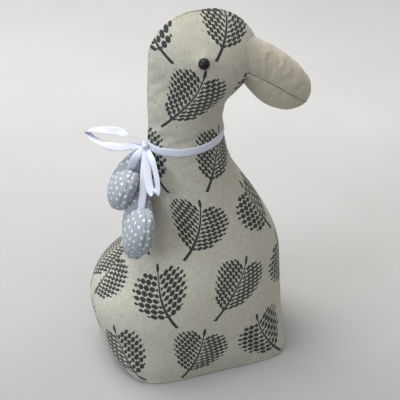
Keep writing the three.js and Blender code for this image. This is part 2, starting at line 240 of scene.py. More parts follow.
def grid_normals(grid):
    """The unit normal at each point of a grid of points."""
    along_rows = np.gradient(grid, axis=1)
    along_columns = np.gradient(grid, axis=0)
    normals = np.cross(along_rows, along_columns)
    length = np.linalg.norm(normals, axis=2, keepdims=True)
    return normals / np.maximum(length, 1e-9)


def even_ring(ring, shares):
    """Points at the given shares of the length of a fine line of points."""
    steps = np.linalg.norm(np.diff(ring, axis=0), axis=1)
    length = np.concatenate(([0], np.cumsum(steps)))
    places = shares * length[-1]
    return np.stack([np.interp(places, length, ring[:, k]) for k in range(3)], axis=1)


def flat_panel(grid, rounds):
    """Flat UV places for a grid of points, relaxed until the threads keep their lengths."""
    rows, columns = grid.shape[:2]
    across = np.linalg.norm(np.diff(grid, axis=1), axis=2)
    up = np.linalg.norm(np.diff(grid, axis=0), axis=2)
    first = np.linalg.norm(grid[1:, 1:] - grid[:-1, :-1], axis=2)
    second = np.linalg.norm(grid[1:, :-1] - grid[:-1, 1:], axis=2)
    width = np.concatenate((np.zeros((rows, 1)), np.cumsum(across, axis=1)), axis=1)
    u = width - width[:, -1:] / 2
    middle = columns // 2
    rise = np.concatenate(([0], np.cumsum(up[:, middle])))
    v = np.repeat(rise[:, None], columns, axis=1)
    flat = np.stack((u, v), axis=2)
    links = [
        (np.s_[:, :-1], np.s_[:, 1:], across),
        (np.s_[:-1, :], np.s_[1:, :], up),
        (np.s_[:-1, :-1], np.s_[1:, 1:], first),
        (np.s_[:-1, 1:], np.s_[1:, :-1], second),
    ]
    for _ in range(rounds):
        shift = np.zeros_like(flat)
        count = np.zeros((rows, columns, 1))
        for one, other, rest in links:
            gap = flat[other] - flat[one]
            length = np.maximum(np.linalg.norm(gap, axis=2), 1e-9)
            pull = gap * ((length - rest) / length / 2)[:, :, None]
            shift[one] += pull
            shift[other] -= pull
            count[one] += 1
            count[other] += 1
        flat += 1.6 * shift / count
    return flat


def body_rows():
    """The heights of the body mesh's rows, close together in the hem at the foot and at the crown."""
    hem = HEM_RADIUS * (1 - np.cos(np.linspace(0, np.pi / 2, 6)))[:-1]
    wall = np.linspace(HEM_RADIUS, CROWN_START, 150)
    crown = CROWN_START + CROWN_RISE * np.sin(np.linspace(0, np.pi / 2, 34)[1:-1])
    return np.concatenate((hem, wall, crown))


def side_panel(side):
    """The smooth skin of one side panel, as a grid of rows from the chest seam to the tail seam."""
    fine = np.linspace(0, np.pi, 700)
    t = np.linspace(0, 1, 111)
    shares = t - 0.09 * np.sin(2 * np.pi * t)
    rows = []
    for height in body_rows():
        inset = HEM_RADIUS - np.sqrt(max(HEM_RADIUS**2 - max(HEM_RADIUS - height, 0) ** 2, 0))
        ring = body_points(height, fine, -inset)
        ring[[0, -1], 1] = 0
        rows.append(even_ring(ring, shares))
    grid = np.array(rows)
    grid[:, :, 1] *= side
    return grid


def body_relief(grid, side):
    """How far each point of a side panel stands out from the smooth skin, in millimetres."""
    shape = grid.shape[:2]
    points = grid.reshape(-1, 3)
    x, y, z = grid[:, :, 0], grid[:, :, 1], grid[:, :, 2]
    steps = np.linalg.norm(np.diff(grid, axis=1), axis=2)
    from_chest = np.concatenate((np.zeros((shape[0], 1)), np.cumsum(steps, axis=1)), axis=1)
    from_tail = from_chest[:, -1:] - from_chest
    to_seam = np.minimum(from_chest, from_tail)

    broad = bumps(points, 46, 1).reshape(shape)
    medium = bumps(points * (1, 1, 0.6), 19, 2).reshape(shape)
    relief = 0.9 * broad + 0.35 * medium

    # The sagittal seam, drawn in, with short puckers that die out away from it
    ripple = bumps(points * (1, 0.25, 1), 5.5, 3).reshape(shape)
    relief -= 0.7 * np.exp(-((to_seam / 1.1) ** 2))
    relief += 0.3 * ripple * np.exp(-to_seam / 6)

    # The seam round the foot
    foot = bumps(points * (1, 1, 0.2), 7, 4).reshape(shape)
    relief += 0.8 * foot * np.exp(-z / 9)

    # A soft upright fold at each boxed corner of the foot
    for corner_x, lean in ((72, 0.02), (-78, -0.12)):
        fold = x - (corner_x + lean * z)
        fade = np.exp(-(((z - 24) / 30) ** 2)) * np.clip((np.abs(y) - 15) / 15, 0, 1)
        relief -= 1.7 * fade * np.exp(-((fold / 1.8) ** 2))
        relief += 0.9 * fade * np.exp(-(((fold + 5 * np.sign(corner_x)) / 4) ** 2))

    # The dimple that the eye's thread pulls in
    eye = np.array([EYE_AHEAD, side * body_flank(EYE_AHEAD, EYE_HEIGHT), EYE_HEIGHT])
    away = np.linalg.norm(grid - eye, axis=2)
    turn = np.arctan2(z - EYE_HEIGHT, x - EYE_AHEAD)
    relief -= 2.6 * np.exp(-((away / 8.5) ** 2))
    relief += 0.28 * np.cos(7 * turn + 1.3) * np.exp(-(((away - 10) / 5) ** 2))

    # The neck under the ribbon: a shallow waist with small gathers above and below
    band = z - (BAND_HEIGHT + BAND_SLOPE * x)
    gathers = bumps(points * (1, 1, 0.12), 6, 5).reshape(shape)
    relief -= 0.9 * np.exp(-((band / 5) ** 2))
    relief += 0.5 * gathers * np.exp(-((np.abs(band) - 5) / 9) ** 2)

    # Creases where the throat bends under the bill
    throat = np.exp(-((z - 284) / 14) ** 2) * np.clip((x - 5) / 25, 0, 1)
    relief += 0.8 * throat * np.sin((z + 0.35 * np.abs(y)) / 2.3) * bumps(points, 12, 6).reshape(shape)
    return relief


def body_filling():
    """How the filling moves the skin of each side panel, on the panel's own grid."""
    right, left = (side_panel(side)[::2, ::2] for side in (-1, 1))
    rings = np.concatenate((right, left[:, -2:0:-1]), axis=1)
    columns = right.shape[1]
    count = rings.shape[1]
    place = np.arange(count)
    to_seam = np.minimum(np.minimum(place, count - place), np.abs(place - (columns - 1)))
    z = rings[:, :, 2]
    drawn = 0.3 * np.exp(-((to_seam[None, :] / 0.8) ** 2)) + 0.5 * np.exp(-(((z - 3) / 4) ** 2))
    held = (z < 2) | (np.abs(z - BAND_HEIGHT - BAND_SLOPE * rings[:, :, 0]) < 3)
    moved = settle(rings, np.clip(drawn, 0, 1), held, 8.0, 1.1, 31)
    # The crown is stuffed tight, so its skin hardly creases
    moved *= 1 - 0.8 * np.clip((z - 300) / 25, 0, 1)[:, :, None]
    back = (count - np.arange(columns)) % count
    return {-1: refine(moved[:, :columns], 2, 2), 1: refine(moved[:, back], 2, 2)}


def foot_panel(edge):
    """The base cloth inside the foot seam, as rings from the seam to the middle."""
    middle = edge.mean(axis=0)
    rings = [edge]
    for share in np.linspace(0.06, 0.96, 16):
        ring = edge + (middle - edge) * share
        sag = 0.5 * np.sin(np.pi * min(share * 3, 1) / 2)
        ring[:, 2] = sag
        rings.append(ring)
    return np.array(rings), middle + (0, 0, 0.5)


def body_mesh():
    """The body's skin: two side panels that meet in the sagittal seam, and the base cloth."""
    points, faces, uvs, edges = [], [], [], []
    pattern = flat_panel(side_panel(1), 500)
    filling = body_filling()
    for side in (-1, 1):
        grid = side_panel(side)
        normals = grid_normals(grid) * -side
        relief = body_relief(grid, side)
        skin = grid + filling[side] + normals * relief[:, :, None]
        skin[:, [0, -1], 1] = 0
        skin[0, :, 2] = 0
        skin[:, :, 2] = np.maximum(skin[:, :, 2], 0)
        flat = pattern + ((LEFT_PANEL_SHIFT, 0) if side > 0 else (0, 0))
        rows, columns = skin.shape[:2]
        start = len(points)
        points.extend(skin.reshape(-1, 3))
        crown = len(points)
        points.append(skin[-1].mean(axis=0) * (1, 0, 1) + (0, 0, 0.3))
        last = start + (rows - 1) * columns
        caps = [(last + j, last + j + 1, crown) for j in range(columns - 1)]
        panel = grid_faces(rows, columns, start) + caps
        if side < 0:
            panel = [tuple(reversed(face)) for face in panel]
        flat_points = np.concatenate((flat.reshape(-1, 2), [flat[-1, columns // 2] + (0, 1.5)]))
        faces.extend(panel)
        uvs.extend(flat_points[index - start] for face in panel for index in face)
        edges.append(skin[0])
    edge = np.concatenate((edges[1], edges[0][::-1][1:-1]))
    rings, middle = foot_panel(edge)
    start = len(points)
    count = rings.shape[1]
    points.extend(rings.reshape(-1, 3))
    points.append(middle)
    foot = []
    for low in range(start, start + (len(rings) - 1) * count, count):
        high = low + count
        foot.extend((low + j, high + j, high + (j + 1) % count, low + (j + 1) % count) for j in range(count))
    last = start + (len(rings) - 1) * count
    foot.extend((last + j, len(points) - 1, last + (j + 1) % count) for j in range(count))
    faces.extend(foot)
    uvs.extend(points[index][:2] for face in foot for index in face)
    piece = new_mesh("skin", points, faces, uvs)
    weld(piece)
    return piece


def blurred(field, reach):
    """A field on rings, averaged three times over so many points each way, round the rings and across."""
    for _ in range(3):
        field = np.mean([np.roll(field, step, axis=1) for step in range(-reach, reach + 1)], axis=0)
        padded = np.pad(field, ((reach, reach), (0, 0), (0, 0)), "edge")
        field = np.mean([padded[step : step + len(field)] for step in range(2 * reach + 1)], axis=0)
    return field


def settle(rings, drawn, held, pressure, cap, seed):
    """How far the points of a closed skin of rings move, in millimetres, as its filling presses out.

    drawn says how much the cloth is gathered at each point, and held which points stay where they are.
    The cloth is settled larger than life, where the solver is steady. Its folds and puckers are kept
    up to the cap, and most of the even growth is taken off, so that the skin keeps the model's size.
    """
    scene = bpy.context.scene
    rows, count = rings.shape[:2]
    start = rings + 0.25 * bumps(rings.reshape(-1, 3), 9, seed).reshape(rows, count, 1)
    ends = [start[0].mean(axis=0), start[-1].mean(axis=0)]
    points = np.concatenate((start.reshape(-1, 3), ends))
    low, high, last = rows * count, rows * count + 1, (rows - 1) * count
    faces = []
    for j in range(count):
        k = (j + 1) % count
        for row in range(0, last, count):
            faces.append((row + j, row + k, row + count + k, row + count + j))
        faces.append((low, k, j))
        faces.append((high, last + j, last + k))
    trial = new_mesh("trial", points * TRIAL_SCALE, faces)
    outward = np.empty(len(points) * 3)
    trial.data.vertex_normals.foreach_get("vector", outward)
    if np.sum(outward.reshape(-1, 3) * (points - points.mean(axis=0))) < 0:
        trial.data.flip_normals()
    for name, weights in (("held", held), ("drawn", drawn)):
        group = trial.vertex_groups.new(name=name)
        for index, weight in enumerate(np.ravel(weights)):
            if weight > 0.01:
                group.add([index], float(weight), "REPLACE")
    cloth = trial.modifiers.new("filling", "CLOTH")
    settings = cloth.settings
    settings.quality = 5
    settings.mass = 0.3
    settings.tension_stiffness = 60
    settings.compression_stiffness = 60
    settings.shear_stiffness = 20
    settings.bending_stiffness = 0.4
    settings.use_pressure = True
    settings.uniform_pressure_force = pressure
    settings.effector_weights.gravity = 0
    settings.vertex_group_mass = "held"
    settings.vertex_group_shrink = "drawn"
    settings.shrink_min = 0.0
    settings.shrink_max = TRIAL_SHRINK
    cloth.collision_settings.use_collision = False
    for number in range(1, TRIAL_FRAMES + 1):
        scene.frame_set(number)
    settled = trial.evaluated_get(bpy.context.evaluated_depsgraph_get()).data
    places = np.empty(len(settled.vertices) * 3)
    settled.vertices.foreach_get("co", places)
    bpy.data.objects.remove(trial)
    scene.frame_set(1)
    places *= 1 / (TRIAL_SCALE * MM)
    moved = places.reshape(-1, 3)[: rows * count].reshape(rows, count, 3) - rings
    moved -= 0.9 * blurred(moved, 3)
    away = np.linalg.norm(moved, axis=2, keepdims=True)
    return moved * np.tanh(away / cap) * cap / np.maximum(away, 1e-6)


def refine(field, row_step, column_step):
    """A coarse grid of shifts on a finer grid with so many steps for each of its own."""
    rows, columns = field.shape[:2]
    tall = spline(field.reshape(rows, -1), (rows - 1) * row_step + 1)
    tall = tall.reshape(-1, columns, 3).transpose(1, 0, 2)
    wide = spline(tall.reshape(columns, -1), (columns - 1) * column_step + 1)
    return wide.reshape(-1, tall.shape[1], 3).transpose(1, 0, 2)


def weld(piece):
    """Joins the points that lie on each other along the seams."""
    modifier = piece.modifiers.new("weld", "WELD")
    modifier.merge_threshold = WELD_DISTANCE * MM
    bpy.context.view_layer.objects.active = piece
    bpy.ops.object.modifier_apply(modifier=modifier.name)


def beak_profile(along):
    """The beak's reach above and below the mouth seam, its half width and its lift, at places along it."""
    share = np.clip(along / BEAK_LENGTH, 0, 1)
    upper = BEAK_UPPER * (0.92 + 0.08 * np.sin(np.pi * share)) * (1 - share**4) ** (1 / 2.1)
    fall = np.sin((np.pi / 2) * np.minimum(share / 0.65, 1))
    lower = BEAK_LOWER * (0.36 + 0.64 * fall) * (1 - share**4.5) ** 0.6
    half = BEAK_HALF_WIDTH * (0.94 + 0.06 * np.sin(np.pi * share)) * (1 - share**4) ** (1 / 2.2)
    return upper, lower, half, BEAK_TIP_LIFT * share**4


def beak_mesh():
    """The stuffed bill, its upper and lower halves drawn in along the mouth seam."""
    droop = np.radians(BEAK_DROOP)
    axis = np.array([np.cos(droop), 0, -np.sin(droop)])
    above = np.array([np.sin(droop), 0, np.cos(droop)])
    rows, columns = 91, 144
    shares = np.sin((np.pi / 2) * np.linspace(0, 0.995, rows))
    along = -BEAK_BURIED + (BEAK_LENGTH + BEAK_BURIED) * shares
    turns = np.linspace(0, 2 * np.pi, columns + 1)
    points, flats = [], []
    for place in along:
        upper, lower, half, lift = (float(v) for v in beak_profile(place))
        level = np.sin(turns)
        close = half / BEAK_HALF_WIDTH
        pinch = 2.1 * close * np.exp(-((level / 0.09) ** 2)) + 0.9 * close * np.exp(-((level / 0.3) ** 2))
        across = signed_power(np.cos(turns), 0.85) * half - np.sign(np.cos(turns)) * pinch
        bow = MOUTH_BOW * np.sin(np.pi * np.clip(place / BEAK_LENGTH, 0, 1))
        height = lift + bow + np.where(level > 0, upper - bow, lower + bow) * level
        ring = BEAK_ROOT + place * axis + height[:, None] * above
        ring[:, 1] += across
        points.append(ring)
        flats.append(np.stack((np.full_like(turns, place), turns * BEAK_FLAT_RADIUS), axis=1))
    grid = np.array(points)
    flat = np.array(flats)
    normals = grid_normals(grid)
    shape = grid.shape[:2]
    flat_list = grid.reshape(-1, 3)
    seam = np.abs(np.sin(turns))[None, :] * 24 * np.ones((rows, 1))
    ripple = bumps(flat_list * (1, 0.3, 1), 5, 11).reshape(shape)
    relief = 0.35 * bumps(flat_list, 19, 12).reshape(shape)
    relief += 0.3 * ripple * np.exp(-seam / 5)
    relief -= 0.7 * np.exp(-((seam / 0.9) ** 2))
    tip = np.clip((along - 52) / 26, 0, 1)[:, None]
    relief += 0.4 * tip * ripple
    # Two soft folds run across the upper half near the tip
    for place, depth in ((50, 0.35), (66, 0.6)):
        relief -= depth * (np.sin(turns) > 0)[None, :] * np.exp(-(((along[:, None] - place) / 2.2) ** 2))
    # The skin is gathered where it is stitched to the head
    gather = np.exp(-(((along - 2) / 7) ** 2))[:, None]
    relief += 0.8 * gather * bumps(flat_list * (0.15, 1, 1), 5.5, 13).reshape(shape)
    relief[:, -1] = relief[:, 0]
    normals[:, -1] = normals[:, 0]
    coarse = grid[::2, :-1:2]
    level = np.abs(np.sin(turns[:-1:2]))[None, :] * np.ones((len(coarse), 1))
    drawn = np.exp(-((level / 0.07) ** 2))
    held = np.zeros_like(drawn)
    held[along[::2] < 2] = 1
    moved = settle(coarse, drawn, held, 6.0, 0.45, 33)
    moved = refine(np.concatenate((moved, moved[:, :1]), axis=1), 2, 2)
    skin = grid + moved - normals * relief[:, :, None]
    end = BEAK_ROOT + BEAK_LENGTH * axis + BEAK_TIP_LIFT * above
    points, faces = capped(skin, (skin[0].mean(axis=0), end))
    flat_points = [*flat.reshape(-1, 2), flat[0].mean(axis=0), flat[-1].mean(axis=0)]
    uvs = [flat_points[index] for face in faces for index in face]
    piece = new_mesh("bill", points, faces, uvs)
    weld(piece)
    return piece


def spline(stops, count):
    """A smooth line of count points through the stops."""
    stops = np.array(stops, float)
    ends = np.concatenate(([2 * stops[0] - stops[1]], stops, [2 * stops[-1] - stops[-2]]))
    places = np.linspace(0, len(stops) - 1, count)
    index = np.minimum(places.astype(int), len(stops) - 2)
    t = (places - index)[:, None]
    a, b, c, d = ends[index], ends[index + 1], ends[index + 2], ends[index + 3]
    return 0.5 * (
        2 * b + (c - a) * t + (2 * a - 5 * b + 4 * c - d) * t**2 + (3 * b - a - 3 * c + d) * t**3
    )


def unit(vectors):
    return vectors / np.maximum(np.linalg.norm(vectors, axis=-1, keepdims=True), 1e-9)


def tube(grid, flats, lengths, closed=False):
    """Points, faces and UVs of a band from the rows of points round it, joined to a ring where closed."""
    rows, columns = grid.shape[:2]
    faces, uvs = [], []
    for i in range(rows if closed else rows - 1):
        for j in range(columns):
            n, k = (i + 1) % rows, (j + 1) % columns
            faces.append((i * columns + j, n * columns + j, n * columns + k, i * columns + k))
            corners = ((j, i), (j, i + 1), (k, i + 1), (k, i))
            uvs.extend((flats[column], lengths[row]) for column, row in corners)
    return grid.reshape(-1, 3), faces, uvs


def ribbon_strip(line, across, widths):
    """Points, faces and UVs of a thin ribbon along a line, a little cupped across its width."""
    along = unit(np.gradient(line, axis=0))
    across = unit(across - np.sum(across * along, axis=1, keepdims=True) * along)
    face = np.cross(along, across)
    shares = np.linspace(-1, 1, 9)
    length = np.concatenate(([0], np.cumsum(np.linalg.norm(np.diff(line, axis=0), axis=1))))
    sides = []
    for level in (1, -1):
        order = shares if level > 0 else shares[::-1]
        for share in order:
            thick = RIBBON_THICKNESS / 2 * level * (1 if abs(share) < 0.99 else 0.35)
            cup = 0.35 * (1 - share**2)
            sides.append(line + across * (share * widths[:, None] / 2) + face * (thick + cup))
    grid = np.stack(sides, axis=1)
    grid = outside_body(grid.reshape(-1, 3), 0.9).reshape(grid.shape)
    rows, columns = grid.shape[:2]
    flats = np.concatenate((shares, shares[::-1])) * RIBBON_WIDTH / 2
    points, faces, uvs = tube(grid, flats, length)
    for row, order in ((0, 1), (rows - 1, -1)):
        faces.append(tuple(row * columns + j for j in range(columns))[::order])
        uvs.extend([(0, length[row])] * columns)
    return points, faces, uvs


def knot_place():
    """The middle of the knot, at the nape side of the band."""
    height = BAND_HEIGHT - 45 * BAND_SLOPE
    back = float(body_sections(height)[0])
    return np.array([back - 0.3 - KNOT_RADII[0], -2, height])


def join_parts(name, parts):
    """One object from several lists of points, faces and UVs."""
    points, faces, uvs = [], [], []
    for part_points, part_faces, part_uvs in parts:
        start = len(points)
        points.extend(part_points)
        faces.extend(tuple(index + start for index in face) for face in part_faces)
        uvs.extend(part_uvs)
    return new_mesh(name, points, faces, uvs)


def neck_band():
    """The ribbon's turn round the neck."""
    turns = np.linspace(0, 2 * np.pi, 181)[:-1]
    shares = np.linspace(-1, 1, 7)
    rings = []
    for turn in turns:
        level = body_points(BAND_HEIGHT, turn)
        wave = 0.5 * noise.noise(Vector((np.cos(turn) * 3, np.sin(turn) * 3, 0)))
        heights = BAND_HEIGHT + BAND_SLOPE * level[0] + wave + shares * RIBBON_WIDTH / 2
        crown = BAND_CLEARANCE + RIBBON_THICKNESS + 0.3 * (1 - shares**2)
        outer = body_points(heights, turn, crown)
        inner = body_points(heights[::-1], turn, BAND_CLEARANCE - 0.4)
        rings.append(np.concatenate((outer, inner)))
    flats = np.concatenate((shares, shares[::-1])) * RIBBON_WIDTH / 2
    return tube(np.array(rings), flats, np.linspace(0, BAND_FLAT_LENGTH, len(rings) + 1), closed=True)


def strip_through(stops, count):
    """A ribbon through stops of place, width direction and share of the full width, from the knot."""
    origin = knot_place()
    line = spline([origin + np.array(at, float) for at, _, _ in stops], count)
    across = spline([unit(np.array(way, float)) for _, way, _ in stops], count)
    widths = RIBBON_WIDTH * spline([(share,) for _, _, share in stops], count)[:, 0]
    return ribbon_strip(line, across, widths)


def standing_loop():
    """The open loop that stands out behind the left shoulder, each strand turned for half of its way."""
    edge_on, face_on, level = (0.45, 0.8, -0.4), (0.35, 0.6, 0.7), (0.645, 0.764, 0.1)
    return strip_through(
        [
            ((0, 1, 1.5), level, 0.5),
            ((-3, 5.5, 4), edge_on, 0.8),
            ((-9, 12.3, 6), edge_on, 1),
            ((-18, 21, 7.1), face_on, 1),
            ((-27.3, 28.5, 6.2), face_on, 1),
            ((-36.7, 36, 4.8), level, 1),
            ((-43.5, 39.5, 1.8), level, 1),
            ((-40.5, 33.5, -2.2), level, 1),
            ((-34.2, 25.7, -4.2), level, 1),
            ((-27.7, 18.2, -5.2), face_on, 1),
            ((-19.8, 12.4, -4.7), face_on, 1),
            ((-10.8, 7, -2), face_on, 0.9),
            ((0, 0, -1), level, 0.5),
        ],
        150,
    )


def drooping_loop():
    """The loop that droops down the right side of the neck."""
    across, turned = (0.93, -0.36, 0), (0.33, -0.94, 0)
    return strip_through(
        [
            ((0, -1, -1), across, 0.5),
            ((-0.5, -7, -5.5), across, 0.85),
            ((-2.5, -14.5, -14), across, 1),
            ((-4, -22, -22.5), across, 1),
            ((-4, -28.5, -29), across, 1),
            ((-1.5, -32.5, -31.5), across, 1),
            ((1.3, -33.5, -27.5), turned, 1),
            ((2.2, -28, -18.5), turned, 1),
            ((2.3, -18.5, -9.5), turned, 0.95),
            ((1.5, -4, -1.5), across, 0.5),
        ],
        120,
    )


def tail_strip(name):
    """The tail that ends in the cleft of a heart."""
    bends, across = TAILS[name]
    stops = [(bend, across, 0.6 if index == 0 else 1) for index, bend in enumerate(bends)]
    return strip_through([*stops, (HEARTS[name][0], across, 0.8)], 60)


def knot_part():
    """The knot: a rounded wrap of ribbon with folds that run round it."""
    rows, columns = 40, 56
    origin = knot_place()
    polar = np.pi * (np.arange(rows)[:, None] + 0.5) / rows
    turn = 2 * np.pi * np.arange(columns) / columns
    level = np.cos(polar) * np.ones(columns)
    way = np.stack((np.sin(polar) * np.cos(turn), level, np.sin(polar) * np.sin(turn)), axis=2)
    fold = 1 + 0.07 * np.cos(3 * np.pi * level + 0.8 * np.sin(turn))
    points = (origin + way * KNOT_SHAPE * fold[:, :, None]).reshape(-1, 3)
    faces, uvs = [], []
    for i in range(rows - 1):
        for j in range(columns):
            k = (j + 1) % columns
            faces.append((i * columns + j, i * columns + k, (i + 1) * columns + k, (i + 1) * columns + j))
            uvs.extend(
                (RIBBON_WIDTH * (r / rows - 0.5), c * 0.5)
                for r, c in ((i, j), (i, j + 1), (i + 1, j + 1), (i + 1, j))
            )
    for row, order in ((0, -1), (rows - 1, 1)):
        faces.append(tuple(row * columns + j for j in range(columns))[::order])
        uvs.extend([(0, 0)] * columns)
    return points, faces, uvs


def ribbon_mesh():
    tails = [tail_strip(name) for name in TAILS]
    return join_parts("satin_ribbon", [neck_band(), standing_loop(), drooping_loop(), *tails, knot_part()])


def heart_ring(count):
    """Even points round the heart's flat outline, as shares of its size, with the cleft at the origin."""
    turns = np.linspace(0, 2 * np.pi, 2000)
    # Stuffing rounds the tip, which a plain heart curve draws sharper
    across = -signed_power(np.sin(turns), 2.6 + 0.4 * np.cos(turns)) / 2
    up = 13 * np.cos(turns) - 5 * np.cos(2 * turns) - 2 * np.cos(3 * turns) - np.cos(4 * turns)
    line = np.stack((across, (up - 5) / 29, np.zeros_like(up)), axis=1)
    return even_ring(line, np.linspace(0, 1, count + 1))[:, :2].T


def heart_mesh(name):
    """A stuffed heart with a seam round its edge."""
    cleft, down, across = (np.array(v, float) for v in HEARTS[name])
    up = unit(-down)
    side = unit(across - np.dot(across, up) * up)
    facing = np.cross(side, up)
    origin = knot_place() + cleft
    drop, turn = HEART_SLUMP[name]
    rows, columns = 61, 180
    edge_a, edge_b = heart_ring(columns)
    angles = np.pi * (np.linspace(0.012, 0.988, rows) - 0.5)
    grid, creases = [], []
    for angle in angles:
        inward = np.cos(angle) ** (2 / HEART_SEAM_POWER)
        rise = signed_power(np.sin(angle), 2 / HEART_SEAM_POWER) * HEART_THICKNESS / 2
        a = edge_a * inward * HEART_WIDTH
        b = (HEART_CORE + (edge_b - HEART_CORE) * inward) * HEART_HEIGHT
        # The near lobe hangs lower than the far one, and the seam lies nearer to the sheltered face
        fade = np.clip((b + 48) / 30, 0, 1)
        b = b - drop * fade * np.sin(np.pi / 2 * np.clip(-a / 16, 0, 1))
        rise = rise + turn * fade * inward**2
        grid.append(origin + a[:, None] * side + b[:, None] * up + rise[:, None] * facing)
        creases.append(np.exp(-((a / 4.5) ** 2)) * np.clip((b + 30) / 26, 0, 1))
    grid, creases = np.array(grid), np.array(creases)
    # Each panel's flat places lie straight out from its middle, as far as the cloth runs
    out_ways = np.stack((edge_a * HEART_WIDTH, (edge_b - HEART_CORE) * HEART_HEIGHT), axis=1)
    first = np.linalg.norm(out_ways, axis=1) * np.cos(angles[0]) ** (2 / HEART_SEAM_POWER)
    steps = np.linalg.norm(np.diff(grid, axis=0), axis=2)
    run = np.concatenate((np.zeros((1, columns + 1)), np.cumsum(steps, axis=0)))
    flats = []
    for reach in (first + run, first + run[-1] - run):
        flats.append([*(reach[:, :, None] * unit(out_ways)).reshape(-1, 2), *np.zeros((2, 2))])
    normals = grid_normals(grid)
    middle = grid.reshape(-1, 3).mean(axis=0)
    turned = np.sum(normals[rows // 2] * (grid[rows // 2] - middle)) >= 0
    if not turned:
        normals = -normals
    shape = grid.shape[:2]
    seam_distance = np.abs(np.sin(angles))[:, None] * HEART_THICKNESS / 2
    points = grid.reshape(-1, 3)
    ripple = bumps(points, 4.5, 21).reshape(shape)
    relief = 0.4 * bumps(points, 12, 22).reshape(shape)
    relief += 0.45 * ripple * np.exp(-seam_distance / 3.5)
    relief -= 0.2 * np.exp(-((seam_distance / 0.8) ** 2))
    relief -= 0.9 * creases * (1 + 0.4 * ripple)
    relief[:, -1] = relief[:, 0]
    normals[:, -1] = normals[:, 0]
    coarse = grid[::2, :-1:3]
    drawn = 0.7 * np.exp(-((seam_distance[::2] / 1.2) ** 2)) * np.ones(coarse.shape[:2])
    moved = settle(coarse if turned else coarse[::-1], drawn, np.zeros_like(drawn), 5.0, 0.9, 35)
    moved = moved if turned else moved[::-1]
    moved = refine(np.concatenate((moved, moved[:, :1]), axis=1), 2, 3)
    skin = grid + moved + normals * relief[:, :, None]
    skin = outside_body(skin.reshape(-1, 3), 0.3).reshape(grid.shape)
    points, faces = capped(skin, (skin[0].mean(axis=0), skin[-1].mean(axis=0)))
    if not turned:
        faces = [tuple(reversed(face)) for face in faces]
    # The middle ring is the seam between the two panels
    seam_start = rows // 2 * (columns + 1)
    uvs = []
    for face in faces:
        flat = flats[0 if min(face) < seam_start else 1]
        uvs.extend(flat[index] for index in face)
    piece = new_mesh(name + "_skin", points, faces, uvs)
    weld(piece)
    return piece


class Value:
    """A number that a node works out, with the usual signs of arithmetic."""

    def __init__(self, shader, socket):
        self.shader = shader
        self.socket = socket

    def __add__(self, other):
        return self.shader.maths("ADD", self, other)

    def __sub__(self, other):
        return self.shader.maths("SUBTRACT", self, other)

    def __rsub__(self, other):
        return self.shader.maths("SUBTRACT", other, self)

    def __mul__(self, other):
        return self.shader.maths("MULTIPLY", self, other)

    def __truediv__(self, other):
        return self.shader.maths("DIVIDE", self, other)

    def __pow__(self, other):
        return self.shader.maths("POWER", self, other)

    def __abs__(self):
        return self.shader.maths("ABSOLUTE", self)


class Shader:
    """Adds nodes one after another to a new material, or to the world."""

    def __init__(self, name, kind="materials"):
        self.owner = getattr(bpy.data, kind).new(name)
        self.owner.use_nodes = True
        self.tree = self.owner.node_tree

    def feed(self, socket, value):
        if isinstance(value, Value):
            self.tree.links.new(value.socket, socket)
        else:
            socket.default_value = value

    def node(self, kind, inputs, output=0, **settings):
        """What a new node gives for these inputs, under these settings."""
        node = self.tree.nodes.new(kind)
        for key, value in settings.items():
            setattr(node, key, value)
        for key, value in inputs.items():
            self.feed(node.inputs[key], value)
        return Value(self, node.outputs[output])

    def maths(self, operation, *values):
        return self.node("ShaderNodeMath", dict(enumerate(values)), operation=operation)

    def larger(self, a, b):
        return self.maths("MAXIMUM", a, b)

    def step(self, value, soft):
        """0 below zero and 1 above it, blurred over soft."""
        return self.node("ShaderNodeClamp", {0: value * (1 / soft) + 0.5})

    def span(self, value, low, high):
        """0 at low and 1 at high, in a straight line between them."""
        return self.node("ShaderNodeMapRange", {"Value": value, "From Min": low, "From Max": high})

    def mix(self, factor, a, b):
        return self.node("ShaderNodeMix", {"Factor": factor, 6: a, 7: b}, 2, data_type="RGBA")

    def place(self):
        return self.node("ShaderNodeTexCoord", {}, "Object")

    def part(self, place, axis):
        return self.node("ShaderNodeSeparateXYZ", {0: place}, axis)

    def flat(self):
        """The flat-panel place in millimetres, across and up."""
        place = self.node("ShaderNodeUVMap", {}, uv_map="flat")
        return self.part(place, 0) * 1000, self.part(place, 1) * 1000

    def noise(self, place, scale, detail=2.0):
        inputs = {"Vector": place, "Scale": scale, "Detail": detail, "Roughness": 0.55}
        return self.node("ShaderNodeTexNoise", inputs)

    def flat_noise(self, u, v, scale, layer=0.0):
        return self.noise(self.node("ShaderNodeCombineXYZ", {0: u, 1: v, 2: layer}), scale)

    def bump(self, height, strength, distance):
        return self.node("ShaderNodeBump", {"Strength": strength, "Distance": distance, "Height": height})

    def finish(self, colour, roughness, normal=None, sheen=0.0, specular=0.25, anisotropic=0.0):
        base = self.tree.nodes["Principled BSDF"].inputs
        self.feed(base["Base Color"], colour)
        self.feed(base["Roughness"], roughness)
        if normal is not None:
            self.feed(base["Normal"], normal)
        base["Sheen Weight"].default_value = sheen
        base["Specular IOR Level"].default_value = specular
        base["Anisotropic"].default_value = anisotropic
        return self.owner


def linear(code):
    """A colour from its usual six-digit code."""
    parts = [int(code[i : i + 2], 16) / 255 for i in (0, 2, 4)]
    return (*(c / 12.92 if c <= 0.04045 else ((c + 0.055) / 1.055) ** 2.4 for c in parts), 1.0)


